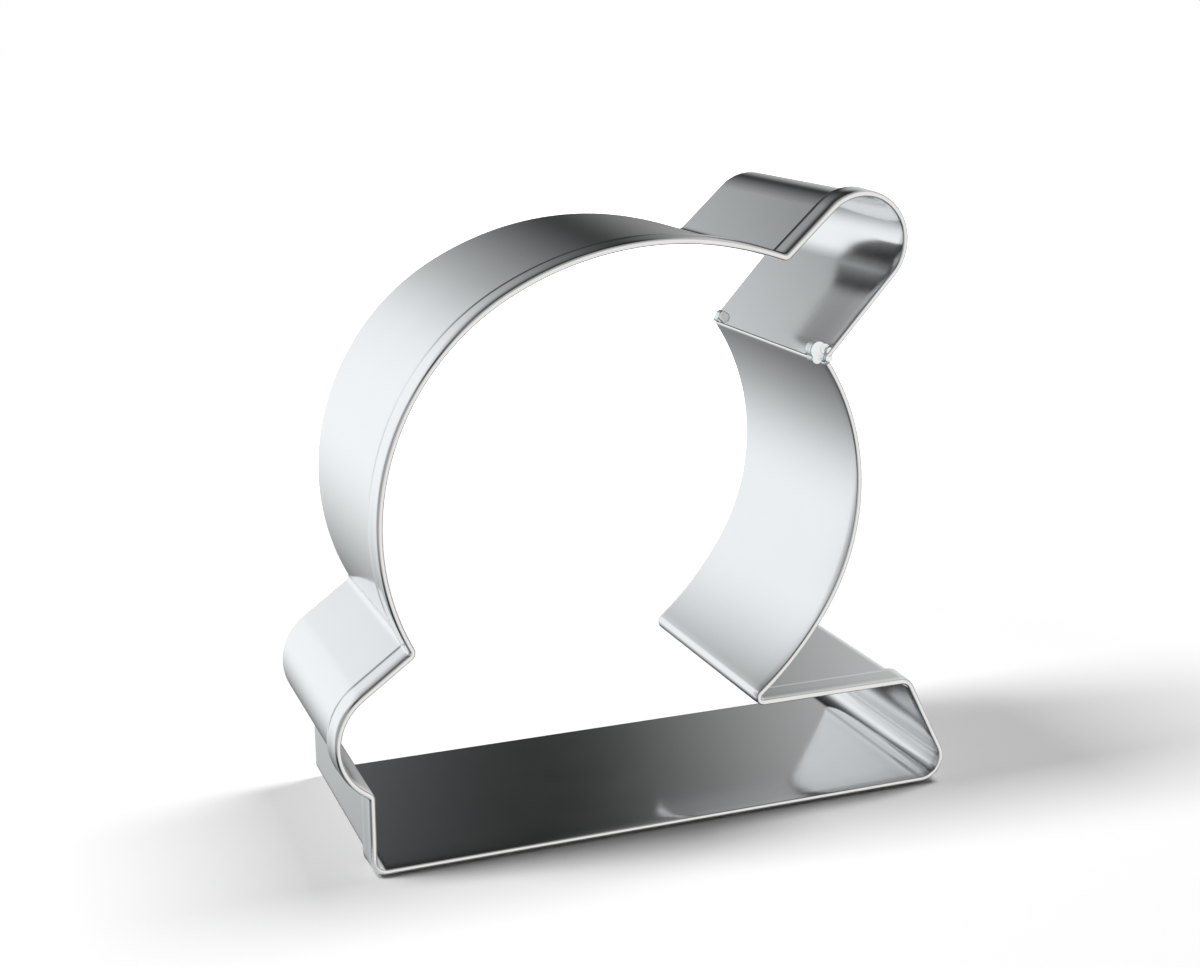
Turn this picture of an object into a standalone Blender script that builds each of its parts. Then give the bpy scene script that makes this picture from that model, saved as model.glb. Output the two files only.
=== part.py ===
"""Stainless-steel cookie cutter: a round body with a short round-ended stub, on a low stand.

One strip of sheet is hemmed along its front edge and bent to the outline. Its two ends meet in the
corner under the stub. A tab on one end laps behind the other wall and is spot welded there, and two
tack welds close the corner at the rim and at the cutting edge.

Metres, +Z up. The cutter stands on its base wall, with the hemmed rim towards -Y and the cutting
edge towards +Y. The origin is at the middle of the footprint, on the floor.
"""

import math

import bmesh
import bpy
from mathutils import Matrix, Vector

MM = 0.001

# The strip, and the hem folded outwards along its front edge.
STRIP_DEPTH = 25.0 * MM
SHEET = 0.3 * MM
FOLD_GAP = 0.15 * MM
HEM_WIDTH = 3.1 * MM
RIM = 2 * SHEET + FOLD_GAP

# The outline is that of the strip's inner face, seen from the front and measured from the middle of
# the round body: x to the right, z up. It is walked anticlockwise, with the opening on the left.
GLOBE_RADIUS = 23.83 * MM
CROWN_RADIUS = 31.7 * MM
CROWN_START = math.radians(119.6)
SHOULDER_RADIUS = 40.4 * MM
SHOULDER_START = math.radians(80.1)
FLANK_RADIUS = 22.71 * MM
FLANK_CENTRE_RIGHT = 1.42 * MM
FLANK_CENTRE_DROP = 0.28 * MM
FLANK_FOOT_RADIUS = 32.7 * MM
FLANK_FOOT_END = math.radians(-32.1)

# The stub at the upper right narrows a little towards its round end.
STUB_UPPER_SLOPE = math.radians(43.2)
STUB_UPPER_OFFSET = 5.69 * MM
STUB_LOWER_SLOPE = math.radians(47.9)
STUB_LOWER_OFFSET = 5.87 * MM
STUB_REACH = 33.83 * MM

# The stand: a sloping shoulder and a round bulge on the left, a shelf and a leaning wall on the right.
# The bulge's centre is placed from the left wall and from the base.
BASE_DROP = 32.37 * MM
LEFT_WALL = 25.36 * MM
SHOULDER_SLOPE = math.radians(36.1)
BULGE_RADIUS = 5.45 * MM
BULGE_INSET = 2.43 * MM
BULGE_HEIGHT = 12.64 * MM
SHELF_DROP = 21.62 * MM
LEANING_SLOPE = math.radians(117.2)
LEANING_FOOT = 36.39 * MM

# Bend radii on the inner face. A bend that points into the opening leaves room for the hem in it.
BEND_CLEARANCE = 0.15 * MM
INWARD_BEND = RIM + BEND_CLEARANCE
BASE_LEFT_BEND = 0.9 * MM
BASE_RIGHT_BEND = 2.0 * MM
SHELF_END_BEND = 1.0 * MM

# The seam under the stub: the lapped tab, and the notch that clears it from the hem.
LAP_GAP = 0.05 * MM
TAB_LENGTH = 6.5 * MM
TAB_BEND = SHEET + BEND_CLEARANCE
NOTCH_CLEARANCE = 0.4 * MM
NOTCH_DEPTH = HEM_WIDTH + NOTCH_CLEARANCE
HEM_SETBACK = 0.75 * MM

# The welds.
WELD_GAP = 0.05 * MM
SPOT_WELDS = 3
SPOT_RADIUS = 0.8 * MM
SPOT_CROWN = 0.08 * MM
TACK_RADIUS = 0.8 * MM
FRONT_TACK_LENGTH = 2.2 * MM
FRONT_TACK_INSET = 1.35 * MM
REAR_TACK_INSET = 0.85 * MM

# Facets of the long round runs and of the small bends, and how near two points count as one.
SAME_PLACE = 1e-4 * MM
ARC_FACET = math.radians(5.0)
BEND_FACET = math.radians(15.0)
RIM_FACETS = 6
SPOT_SEGMENTS = 24
TACK_SEGMENTS = 24
TACK_RINGS = 16

STEEL = (0.60, 0.61, 0.61, 1.0)
WELD_METAL = (0.72, 0.73, 0.74, 1.0)


def direction(angle):
    return Vector((math.cos(angle), math.sin(angle)))


def left_of(heading):
    return Vector((-math.sin(heading), math.cos(heading)))


def right_of(heading):
    return -left_of(heading)


def angle_of(vector):
    return math.atan2(vector.y, vector.x)


class Line:
    """A straight run of the outline: a point on it, and its heading."""

    def __init__(self, point, heading):
        self.point = point
        self.heading = heading

    def shifted_left(self, distance):
        return Line(self.point + left_of(self.heading) * distance, self.heading)

    def nearest(self, point):
        along = direction(self.heading)
        return self.point + along * (point - self.point).dot(along)


class Arc:
    """A round run of the outline, walked anticlockwise."""

    def __init__(self, centre, radius):
        self.centre = centre
        self.radius = radius

    def shifted_left(self, distance):
        return Arc(self.centre, self.radius - distance)

    def nearest(self, point):
        return self.centre + (point - self.centre).normalized() * self.radius


def meeting(before, after):
    """Where one run of the outline hands over to the next."""
    if isinstance(before, Line) and isinstance(after, Line):
        along = direction(before.heading)
        across = left_of(after.heading)
        reach = across.dot(after.point - before.point) / across.dot(along)
        return before.point + along * reach
    line, arc = (before, after) if isinstance(before, Line) else (after, before)
    foot = line.nearest(arc.centre)
    half_chord = math.sqrt(arc.radius**2 - (foot - arc.centre).length_squared)
    enters_arc = line is before
    return foot + direction(line.heading) * (-half_chord if enters_arc else half_chord)


class Bend:
    """A rounded corner between two runs. It turns left (1) round the opening, or right (-1) into it."""

    def __init__(self, before, after, radius, turn):
        shift = turn * radius
        self.turn = turn
        self.centre = meeting(before.shifted_left(shift), after.shifted_left(shift))
        self.start = before.nearest(self.centre)
        self.end = after.nearest(self.centre)

    def stations(self, facet=BEND_FACET):
        return round_stations(self.centre, self.start, self.end, self.turn, facet)


def round_stations(centre, start, end, turn, facet):
    """Stations round a centre: each is a point of the inner face and the way out from it."""
    radius = (start - centre).length
    first = angle_of(start - centre)
    sweep = (turn * (angle_of(end - centre) - first)) % math.tau
    steps = max(2, math.ceil(sweep / facet))
    found = []
    for step in range(steps + 1):
        away = direction(first + turn * sweep * step / steps)
        found.append((centre + away * radius, away * turn))
    return found


def joined(*stretches):
    """The stretches' stations in one list, without the points that two stretches share."""
    stations = []
    for stretch in stretches:
        for point, outward in stretch:
            if not stations or (point - stations[-1][0]).length > SAME_PLACE:
                stations.append((point, outward))
    return stations


# The runs of the outline, in the order in which the strip follows them.
STUB_LOWER = Line(right_of(STUB_LOWER_SLOPE) * STUB_LOWER_OFFSET, STUB_LOWER_SLOPE)
STUB_UPPER = Line(left_of(STUB_UPPER_SLOPE) * STUB_UPPER_OFFSET, STUB_UPPER_SLOPE + math.pi)
GLOBE = Arc(Vector((0.0, 0.0)), GLOBE_RADIUS)
CROWN = Arc(direction(CROWN_START) * (GLOBE_RADIUS - CROWN_RADIUS), CROWN_RADIUS)
SHOULDER = Arc(
    CROWN.centre + direction(SHOULDER_START) * (CROWN_RADIUS - SHOULDER_RADIUS),
    SHOULDER_RADIUS,
)
BULGE = Arc(Vector((BULGE_INSET - LEFT_WALL, BULGE_HEIGHT - BASE_DROP)), BULGE_RADIUS)
SLOPE = Line(
    BULGE.centre + right_of(SHOULDER_SLOPE + math.pi) * BULGE_RADIUS,
    SHOULDER_SLOPE + math.pi,
)
WALL = Line(Vector((-LEFT_WALL, 0.0)), -math.pi / 2)
BASE = Line(Vector((0.0, -BASE_DROP)), 0.0)
LEANING = Line(Vector((LEANING_FOOT, -BASE_DROP)), LEANING_SLOPE)
SHELF = Line(Vector((0.0, -SHELF_DROP)), math.pi)
FLANK = Arc(Vector((FLANK_CENTRE_RIGHT, -FLANK_CENTRE_DROP)), FLANK_RADIUS)
FLANK_FOOT = Arc(
    FLANK.centre + direction(FLANK_FOOT_END) * (FLANK_RADIUS - FLANK_FOOT_RADIUS),
    FLANK_FOOT_RADIUS,
)


def stub_cap():
    """The round end of the stub, which touches both of its walls."""
    middle_slope = (STUB_UPPER_SLOPE + STUB_LOWER_SLOPE) / 2
    half_taper = (STUB_LOWER_SLOPE - STUB_UPPER_SLOPE) / 2
    aside = (STUB_UPPER_OFFSET - STUB_LOWER_OFFSET) / (2 * math.cos(half_taper))
    centre = direction(middle_slope) * STUB_REACH + left_of(middle_slope) * aside
    return round_stations(
        centre, STUB_LOWER.nearest(centre), STUB_UPPER.nearest(centre), 1, ARC_FACET * 2
    )


# The seam: the corner where the two inner faces would meet, and the tab that bends round it.
SEAM_CORNER = meeting(FLANK, STUB_LOWER)
TAB_LINE = STUB_LOWER.shifted_left(-(SHEET + LAP_GAP))
TAB_TURN = Bend(FLANK, TAB_LINE, TAB_BEND, -1)
SEAM_ALONG = direction(STUB_LOWER_SLOPE)
SEAM_OUTWARD = right_of(STUB_LOWER_SLOPE)


def strip_stations():
    """The strip's full section, from the seam round the outline and back to the seam."""
    stub_corner = Bend(STUB_UPPER, SHOULDER, INWARD_BEND, -1)
    left_corner = Bend(GLOBE, SLOPE, INWARD_BEND, -1)
    jog = Bend(BULGE, WALL, INWARD_BEND, -1)
    base_left = Bend(WALL, BASE, BASE_LEFT_BEND, 1)
    base_right = Bend(BASE, LEANING, BASE_RIGHT_BEND, 1)
    shelf_end = Bend(LEANING, SHELF, SHELF_END_BEND, 1)
    shelf_tip = Bend(SHELF, FLANK_FOOT, INWARD_BEND, -1)
    foot_end = FLANK.centre + direction(FLANK_FOOT_END) * FLANK_RADIUS
    crown_end = CROWN.centre + direction(SHOULDER_START) * CROWN_RADIUS
    globe_start = direction(CROWN_START) * GLOBE_RADIUS
    return joined(
        [(SEAM_CORNER + SEAM_ALONG * HEM_SETBACK, SEAM_OUTWARD)],
        stub_cap(),
        stub_corner.stations(),
        round_stations(SHOULDER.centre, stub_corner.end, crown_end, 1, ARC_FACET),
        round_stations(CROWN.centre, crown_end, globe_start, 1, ARC_FACET),
        round_stations(GLOBE.centre, globe_start, left_corner.start, 1, ARC_FACET),
        left_corner.stations(),
        round_stations(BULGE.centre, SLOPE.point, jog.start, 1, ARC_FACET * 2),
        jog.stations(),
        base_left.stations(),
        base_right.stations(),
        shelf_end.stations(),
        shelf_tip.stations(),
        round_stations(FLANK_FOOT.centre, shelf_tip.end, foot_end, 1, ARC_FACET),
        round_stations(FLANK.centre, foot_end, TAB_TURN.start, 1, ARC_FACET),
    )


def tab_stations():
    """The tab's bend round the corner, and its flat stretch behind the stub's lower wall."""
    tab_end = TAB_TURN.end + SEAM_ALONG * TAB_LENGTH
    return joined(TAB_TURN.stations(), [(tab_end, SEAM_OUTWARD)])[1:]


STATIONS = strip_stations()
OUTER_FACE = [point + outward * RIM for point, outward in STATIONS]
MIDDLE_X = (min(p.x for p in OUTER_FACE) + max(p.x for p in OUTER_FACE)) / 2
FLOOR_Z = min(p.y for p in OUTER_FACE)
FRONT_Y = -STRIP_DEPTH / 2


def placed(point, depth):
    """The place in the part's own frame of a point of the outline, this deep behind the rim."""
    return Vector((point.x - MIDDLE_X, FRONT_Y + depth, point.y - FLOOR_Z))


def hem_section():
    """The front of the strip's section, from the notch round the rim: (outward, depth) pairs."""
    bead = RIM / 2
    rim = []
    for step in range(RIM_FACETS + 1):
        around = direction(math.pi + math.pi * step / RIM_FACETS)
        rim.append((bead + around.x * bead, bead + around.y * bead))
    fold = [(RIM, HEM_WIDTH), (RIM - SHEET, HEM_WIDTH), (RIM - SHEET, bead)]
    fold += [(bead, bead - FOLD_GAP / 2), (SHEET, bead)]
    return rim + fold


WALL_SECTION = [(SHEET, NOTCH_DEPTH), (SHEET, STRIP_DEPTH), (0.0, STRIP_DEPTH), (0.0, NOTCH_DEPTH)]
HEM_SECTION = hem_section()
SECTION = HEM_SECTION + WALL_SECTION


def extruded(shape, faces, corner_layer, stations):
    """Draws the faces out through the stations, and returns the faces at the far end."""
    for point, outward in stations:
        edges = list({edge for face in faces for edge in face.edges})
        grown = bmesh.ops.extrude_face_region(shape, geom=faces + edges)["geom"]
        faces = [item for item in grown if isinstance(item, bmesh.types.BMFace)]
        for corner in {corner for face in faces for corner in face.verts}:
            out, depth = SECTION[corner[corner_layer]]
            corner.co = placed(point + outward * out, depth)
    return faces


def wall_only(faces, corner_layer):
    """The end face behind the hem's notch, without the hem."""
    first_of_wall = len(HEM_SECTION)
    return [face for face in faces if all(v[corner_layer] >= first_of_wall for v in face.verts)]


def steel_material(name, colour, roughness):
    material = bpy.data.materials.new(name)
    material.use_nodes = True
    shader = material.node_tree.nodes["Principled BSDF"]
    shader.inputs["Base Color"].default_value = colour
    shader.inputs["Metallic"].default_value = 1.0
    shader.inputs["Roughness"].default_value = roughness
    return material


def new_object(name, shape, material=None):
    bmesh.ops.recalc_face_normals(shape, faces=shape.faces)
    mesh = bpy.data.meshes.new(name)
    shape.to_mesh(mesh)
    shape.free()
    piece = bpy.data.objects.new(name, mesh)
    bpy.context.scene.collection.objects.link(piece)
    if material:
        mesh.materials.append(material)
        mesh.shade_smooth()
        mesh.set_sharp_from_angle(angle=math.radians(40.0))
    return piece


def new_cutter(name, shape):
    cutter = new_object(name, shape)
    cutter.hide_render = True
    cutter.display_type = "WIRE"
    return cutter


def cut(piece, cutter):
    modifier = piece.modifiers.new(cutter.name, "BOOLEAN")
    modifier.operation = "DIFFERENCE"
    modifier.solver = "EXACT"
    modifier.object = cutter


def make_strip(material):
    """The strip: its section drawn along the outline, then the tongue and the tab at its two ends."""
    shape = bmesh.new()
    corner_layer = shape.verts.layers.int.new("section_corner")
    point, outward = STATIONS[0]
    corners = []
    for index, (out, depth) in enumerate(SECTION):
        corner = shape.verts.new(placed(point + outward * out, depth))
        corner[corner_layer] = index
        corners.append(corner)
    hem = corners[: len(HEM_SECTION)]
    wall = corners[len(HEM_SECTION) :]
    start_faces = [shape.faces.new(hem + [wall[0], wall[-1]]), shape.faces.new(wall)]
    end_faces = extruded(shape, start_faces, corner_layer, STATIONS[1:])
    extruded(shape, wall_only(end_faces, corner_layer), corner_layer, tab_stations())
    tongue = wall_only([face for face in start_faces if face.is_valid], corner_layer)
    extruded(shape, tongue, corner_layer, [(SEAM_CORNER, SEAM_OUTWARD)])
    return new_object("cutter_strip", shape, material)


def spot_places():
    """The middle of each spot weld on the inner face, evenly spaced down the tab."""
    along = (TAB_TURN.end - SEAM_CORNER).dot(SEAM_ALONG) + TAB_LENGTH / 2
    middle = SEAM_CORNER + SEAM_ALONG * along
    pitch = (STRIP_DEPTH - NOTCH_DEPTH) / SPOT_WELDS
    return [placed(middle, NOTCH_DEPTH + pitch * (spot + 0.5)) for spot in range(SPOT_WELDS)]


def plug(radius, near, far):
    """A cylinder along its own +Z, from near to far."""
    shape = bmesh.new()
    bmesh.ops.create_cone(
        shape,
        cap_ends=True,
        segments=SPOT_SEGMENTS,
        radius1=radius,
        radius2=radius,
        depth=far - near,
        matrix=Matrix.Translation((0.0, 0.0, (near + far) / 2)),
    )
    return shape


def stand_on_seam(piece, place):
    """Puts the piece at its place, with its own +Z out through the lapped walls."""
    outward = Vector((SEAM_OUTWARD.x, 0.0, SEAM_OUTWARD.y))
    piece.rotation_mode = "QUATERNION"
    piece.rotation_quaternion = outward.to_track_quat("Z", "Y")
    piece.location = place


def make_spot_welds(strip, material):
    """Each weld is a plug of fused metal through both layers, with a low crown on the outside."""
    layers = 2 * SHEET + LAP_GAP
    for number, place in enumerate(spot_places(), start=1):
        hole = new_cutter(f"spot_hole_{number}", plug(SPOT_RADIUS + WELD_GAP, -SPOT_RADIUS, 2 * layers))
        stand_on_seam(hole, place)
        cut(strip, hole)
        shape = plug(SPOT_RADIUS, 0.0, layers + SPOT_CROWN)
        crown = [edge for edge in shape.edges if all(v.co.z > layers for v in edge.verts)]
        bmesh.ops.bevel(
            shape, geom=crown, offset=SPOT_CROWN, segments=2, profile=0.5, affect="EDGES", material=-1
        )
        stand_on_seam(new_object(f"spot_weld_{number}", shape, material), place)


def wall_cutter(name, corner, along, outward, depth):
    """A block that stands for one wall at the seam, from its end outwards, grown by the weld's gap."""
    size = 6 * TACK_RADIUS
    middle = corner + (along + outward) * (size / 2 - WELD_GAP)
    shape = bmesh.new()
    bmesh.ops.create_cube(shape, size=size)
    turn = Matrix.Identity(4)
    turn.col[0] = (along.x, 0.0, along.y, 0.0)
    turn.col[2] = (outward.x, 0.0, outward.y, 0.0)
    bmesh.ops.transform(shape, matrix=Matrix.Translation(placed(middle, depth)) @ turn, verts=shape.verts)
    return new_cutter(name, shape)


def make_tack_weld(name, depth, length, stub_setback, flank_setback, material):
    """A bead on the seam's corner. The setbacks say how far each wall's end stays from the corner."""
    shape = bmesh.new()
    bmesh.ops.create_uvsphere(shape, u_segments=TACK_SEGMENTS, v_segments=TACK_RINGS, radius=TACK_RADIUS)
    bmesh.ops.scale(shape, vec=(1.0, 1.0, length / (2 * TACK_RADIUS)), verts=shape.verts)
    bead = new_object(name, shape, material)
    bead.rotation_euler.x = math.pi / 2
    bead.location = placed(SEAM_CORNER, depth)
    flank_back = -left_of(angle_of(SEAM_CORNER - FLANK.centre))
    flank_outward = direction(angle_of(SEAM_CORNER - FLANK.centre))
    walls = (
        ("stub", SEAM_ALONG, SEAM_OUTWARD, stub_setback),
        ("flank", flank_back, flank_outward, flank_setback),
    )
    for wall, along, outward, setback in walls:
        corner = SEAM_CORNER + along * setback
        cut(bead, wall_cutter(f"{name}_{wall}_cutter", corner, along, outward, depth))


def main():
    for thing in list(bpy.data.objects):
        bpy.data.objects.remove(thing, do_unlink=True)
    strip = make_strip(steel_material("bright steel", STEEL, 0.16))
    make_spot_welds(strip, steel_material("spot weld", WELD_METAL, 0.35))
    bead_metal = steel_material("weld bead", WELD_METAL, 0.28)
    flank_gap = (SEAM_CORNER - TAB_TURN.start).length
    make_tack_weld(
        "front_tack_weld", FRONT_TACK_INSET, FRONT_TACK_LENGTH, HEM_SETBACK, flank_gap, bead_metal
    )
    make_tack_weld(
        "rear_tack_weld", STRIP_DEPTH - REAR_TACK_INSET, 2 * TACK_RADIUS, 0.0, 0.0, bead_metal
    )


main()
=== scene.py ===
# %% [markdown]
# A stainless-steel cookie cutter, dressed for its picture.
#
# The real one is a single strip of thin sheet. Its front edge is folded over into a hem, so that the
# hand meets a smooth rim, and the strip is bent to an outline and closed with small welds. The packed
# model holds its sizes. This script gives it a finer strip, real weld beads and a steel finish, and
# stands it in a small photographic studio.

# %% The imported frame
import math

import bmesh
import bpy
from mathutils import Matrix, Vector


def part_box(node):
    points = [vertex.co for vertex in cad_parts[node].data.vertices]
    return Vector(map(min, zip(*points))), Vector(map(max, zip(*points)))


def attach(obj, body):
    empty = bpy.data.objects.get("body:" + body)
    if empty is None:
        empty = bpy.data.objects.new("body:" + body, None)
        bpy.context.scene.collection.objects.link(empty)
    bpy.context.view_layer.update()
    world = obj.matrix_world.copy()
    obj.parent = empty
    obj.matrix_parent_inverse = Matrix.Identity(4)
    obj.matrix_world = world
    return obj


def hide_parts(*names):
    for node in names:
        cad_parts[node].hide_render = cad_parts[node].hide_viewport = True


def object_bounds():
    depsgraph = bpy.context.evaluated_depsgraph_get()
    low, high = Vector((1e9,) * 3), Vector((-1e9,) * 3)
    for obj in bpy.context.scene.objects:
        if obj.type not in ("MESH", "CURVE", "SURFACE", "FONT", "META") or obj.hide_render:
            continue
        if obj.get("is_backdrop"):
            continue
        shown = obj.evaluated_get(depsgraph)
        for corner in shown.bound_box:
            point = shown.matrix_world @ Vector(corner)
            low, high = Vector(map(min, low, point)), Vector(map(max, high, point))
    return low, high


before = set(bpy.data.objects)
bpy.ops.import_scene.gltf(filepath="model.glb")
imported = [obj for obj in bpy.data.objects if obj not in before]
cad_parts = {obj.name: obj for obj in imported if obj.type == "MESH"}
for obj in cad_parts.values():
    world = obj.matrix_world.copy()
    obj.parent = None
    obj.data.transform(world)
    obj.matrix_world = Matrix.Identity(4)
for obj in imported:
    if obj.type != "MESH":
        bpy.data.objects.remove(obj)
packed_box = [list(corner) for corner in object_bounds()]
strip_low, strip_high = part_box("cutter_strip")
print("nodes:", ", ".join(sorted(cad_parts)))
print("strip, mm:", [round((high - low) * 1000, 2) for low, high in zip(strip_low, strip_high)])

# %% [markdown]
# Everything is in metres, so a size reads best as a number of millimetres times MM. The outline is
# flat, seen from the rim's side: its first coordinate runs to the right and its second upwards. Its
# origin is the centre of the round body's main arc, from which the other runs are measured.

# %% Plain measures in the outline's plane
MM = 0.001


def in_mm(values):
    return [round(value / MM, 2) for value in values]


def direction(angle):
    return Vector((math.cos(angle), math.sin(angle)))


def left_of(heading):
    return Vector((-math.sin(heading), math.cos(heading)))


def angle_of(vector):
    return math.atan2(vector.y, vector.x)


def standing(point, depth=0.0):
    """A point of the outline as a place in space, this deep behind the rim."""
    return Vector((point.x, depth, point.y))


# %% [markdown]
# The strip follows straight runs and round runs in turn. Each run can answer two questions: which of
# its points is nearest to a given point, and where it would lie if it were shifted to its left. Those
# two are enough to find the centre of every bend, since a bend of radius r between two runs has its
# centre where both runs, shifted by r, meet.

# %% Straight and round runs
class Straight:
    """A straight run: a point on it, and its heading."""

    def __init__(self, point, heading):
        self.point = point
        self.heading = heading

    def shifted(self, distance):
        return Straight(self.point + left_of(self.heading) * distance, self.heading)

    def nearest(self, point):
        along = direction(self.heading)
        return self.point + along * (point - self.point).dot(along)


class Round:
    """A round run, walked anticlockwise."""

    def __init__(self, centre, radius):
        self.centre = centre
        self.radius = radius

    def shifted(self, distance):
        return Round(self.centre, self.radius - distance)

    def nearest(self, point):
        return self.centre + (point - self.centre).normalized() * self.radius


def meeting(before, after):
    """Where one run hands over to the next."""
    if isinstance(before, Straight) and isinstance(after, Straight):
        across = left_of(after.heading)
        along = direction(before.heading)
        return before.point + along * (across.dot(after.point - before.point) / across.dot(along))
    line, arc = (before, after) if isinstance(before, Straight) else (after, before)
    foot = line.nearest(arc.centre)
    half_chord = math.sqrt(arc.radius**2 - (foot - arc.centre).length_squared)
    return foot + direction(line.heading) * (-half_chord if line is before else half_chord)


# %% [markdown]
# The sheet is 0.3 mm thick. The hem folds it outwards, so the rim is two sheets and a sliver of air
# thick. The outline below is that of the strip's inner face, the face that shapes the dough.

# %% The sheet and its hem
DEPTH = strip_high[1] - strip_low[1]
SHEET = 0.3 * MM
FOLD_GAP = 0.15 * MM
RIM = 2 * SHEET + FOLD_GAP
HEM_WIDTH = 3.1 * MM
print(f"rim {RIM / MM:.2f} mm thick, strip {DEPTH / MM:.1f} mm deep")

# %% [markdown]
# The round body isn't a true circle: it flattens towards the stub, as hand-bent strip does. Its upper
# side is three arcs, each of which starts where the last one ends and in the same direction. The flank
# on the right is a tighter arc about a centre of its own, and it straightens towards its foot.

# %% The round body
GLOBE_RADIUS = 23.83 * MM
CROWN_RADIUS = 31.7 * MM
CROWN_START = math.radians(119.6)
SHOULDER_RADIUS = 40.4 * MM
SHOULDER_START = math.radians(80.1)
FLANK_RADIUS = 22.71 * MM
FLANK_CENTRE_RIGHT = 1.42 * MM
FLANK_CENTRE_DROP = 0.28 * MM
FLANK_FOOT_RADIUS = 32.7 * MM
FLANK_FOOT_END = math.radians(-32.1)

globe = Round(Vector((0.0, 0.0)), GLOBE_RADIUS)
crown_arc = Round(direction(CROWN_START) * (GLOBE_RADIUS - CROWN_RADIUS), CROWN_RADIUS)
shoulder = Round(
    crown_arc.centre + direction(SHOULDER_START) * (CROWN_RADIUS - SHOULDER_RADIUS), SHOULDER_RADIUS
)
flank = Round(Vector((FLANK_CENTRE_RIGHT, -FLANK_CENTRE_DROP)), FLANK_RADIUS)
flank_foot = Round(
    flank.centre + direction(FLANK_FOOT_END) * (FLANK_RADIUS - FLANK_FOOT_RADIUS), FLANK_FOOT_RADIUS
)
print("arcs, mm:", in_mm(arc.radius for arc in (shoulder, crown_arc, globe, flank_foot, flank)))

# %% [markdown]
# The stub at the upper right has two nearly parallel walls and a round end that touches both. The
# stand has a sloping shoulder and a bulge on the left, a flat base, and a leaning wall with a shelf.

# %% The stub and the stand
STUB_UPPER_SLOPE = math.radians(43.2)
STUB_UPPER_OFFSET = 5.69 * MM
STUB_LOWER_SLOPE = math.radians(47.9)
STUB_LOWER_OFFSET = 5.87 * MM
STUB_REACH = 33.83 * MM
BASE_DROP = 32.37 * MM
LEFT_WALL = 25.36 * MM
BULGE_SLOPE = math.radians(36.1)
BULGE_RADIUS = 5.45 * MM
BULGE_INSET = 2.43 * MM
BULGE_HEIGHT = 12.64 * MM
SHELF_DROP = 21.62 * MM
LEANING_SLOPE = math.radians(117.2)
LEANING_FOOT = 36.39 * MM

stub_upper = Straight(left_of(STUB_UPPER_SLOPE) * STUB_UPPER_OFFSET, STUB_UPPER_SLOPE + math.pi)
stub_lower = Straight(-left_of(STUB_LOWER_SLOPE) * STUB_LOWER_OFFSET, STUB_LOWER_SLOPE)
bulge = Round(Vector((BULGE_INSET - LEFT_WALL, BULGE_HEIGHT - BASE_DROP)), BULGE_RADIUS)
bulge_heading = BULGE_SLOPE + math.pi
slope = Straight(bulge.centre - left_of(bulge_heading) * BULGE_RADIUS, bulge_heading)
left_wall = Straight(Vector((-LEFT_WALL, 0.0)), -math.pi / 2)
base = Straight(Vector((0.0, -BASE_DROP)), 0.0)
leaning = Straight(Vector((LEANING_FOOT, -BASE_DROP)), LEANING_SLOPE)
shelf = Straight(Vector((0.0, -SHELF_DROP)), math.pi)
print("centre of the bulge, mm:", in_mm(bulge.centre))

# %% [markdown]
# A turn is a centre, the two points between which the strip swings round it, and a sense: 1 where the
# strip goes round the opening and -1 where a bend points into it. An inward bend has to leave room
# for the hem, which lies inside it, so its radius is the rim's thickness and a little more.

# %% Turns
class Turn:
    def __init__(self, centre, start, end, sense=1):
        self.centre = centre
        self.start = start
        self.end = end
        self.sweep = sense * ((sense * (angle_of(end - centre) - angle_of(start - centre))) % math.tau)


def bend(before, after, radius, sense):
    """The turn of this radius that rounds the corner between two runs."""
    centre = meeting(before.shifted(sense * radius), after.shifted(sense * radius))
    return Turn(centre, before.nearest(centre), after.nearest(centre), sense)


BEND_CLEARANCE = 0.15 * MM
INWARD_BEND = RIM + BEND_CLEARANCE
BASE_LEFT_BEND = 0.9 * MM
BASE_RIGHT_BEND = 2.0 * MM
SHELF_END_BEND = 1.0 * MM

stub_corner = bend(stub_upper, shoulder, INWARD_BEND, -1)
waist = bend(globe, slope, INWARD_BEND, -1)
jog = bend(bulge, left_wall, INWARD_BEND, -1)
base_left = bend(left_wall, base, BASE_LEFT_BEND, 1)
base_right = bend(base, leaning, BASE_RIGHT_BEND, 1)
shelf_end = bend(leaning, shelf, SHELF_END_BEND, 1)
shelf_tip = bend(shelf, flank_foot, INWARD_BEND, -1)
print(f"inward bends: {INWARD_BEND / MM:.2f} mm, the waist turns {-math.degrees(waist.sweep):.0f} degrees")

# %% [markdown]
# The strip's two ends meet in the corner under the stub. One wall stops there. The other goes round
# the corner as a tab, laps behind the first wall and is spot welded to it. The tab has no hem: a
# notch clears it, and the hem itself stops a little short of the corner.

# %% The seam
LAP_GAP = 0.05 * MM
TAB_LENGTH = 6.5 * MM
NOTCH_DEPTH = HEM_WIDTH + 0.4 * MM
HEM_SETBACK = 0.75 * MM

seam_corner = meeting(flank, stub_lower)
seam_along = direction(STUB_LOWER_SLOPE)
seam_outward = -left_of(STUB_LOWER_SLOPE)
tab_line = stub_lower.shifted(-(SHEET + LAP_GAP))
tab_turn = bend(flank, tab_line, SHEET + BEND_CLEARANCE, -1)
hem_start = seam_corner + seam_along * HEM_SETBACK
print("seam corner, mm:", in_mm(seam_corner))

# %% [markdown]
# The whole outline is a walk, listed as its turns in order. It starts at the seam on the stub's lower
# wall, goes over the stub's round end, leftwards round the body, round the stand and up the flank,
# and ends at the same corner. Straight runs need no entry, because each one lies between the end of
# one turn and the start of the next. The stub's round end touches both of its walls, so its centre is
# as far from one as from the other.

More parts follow.
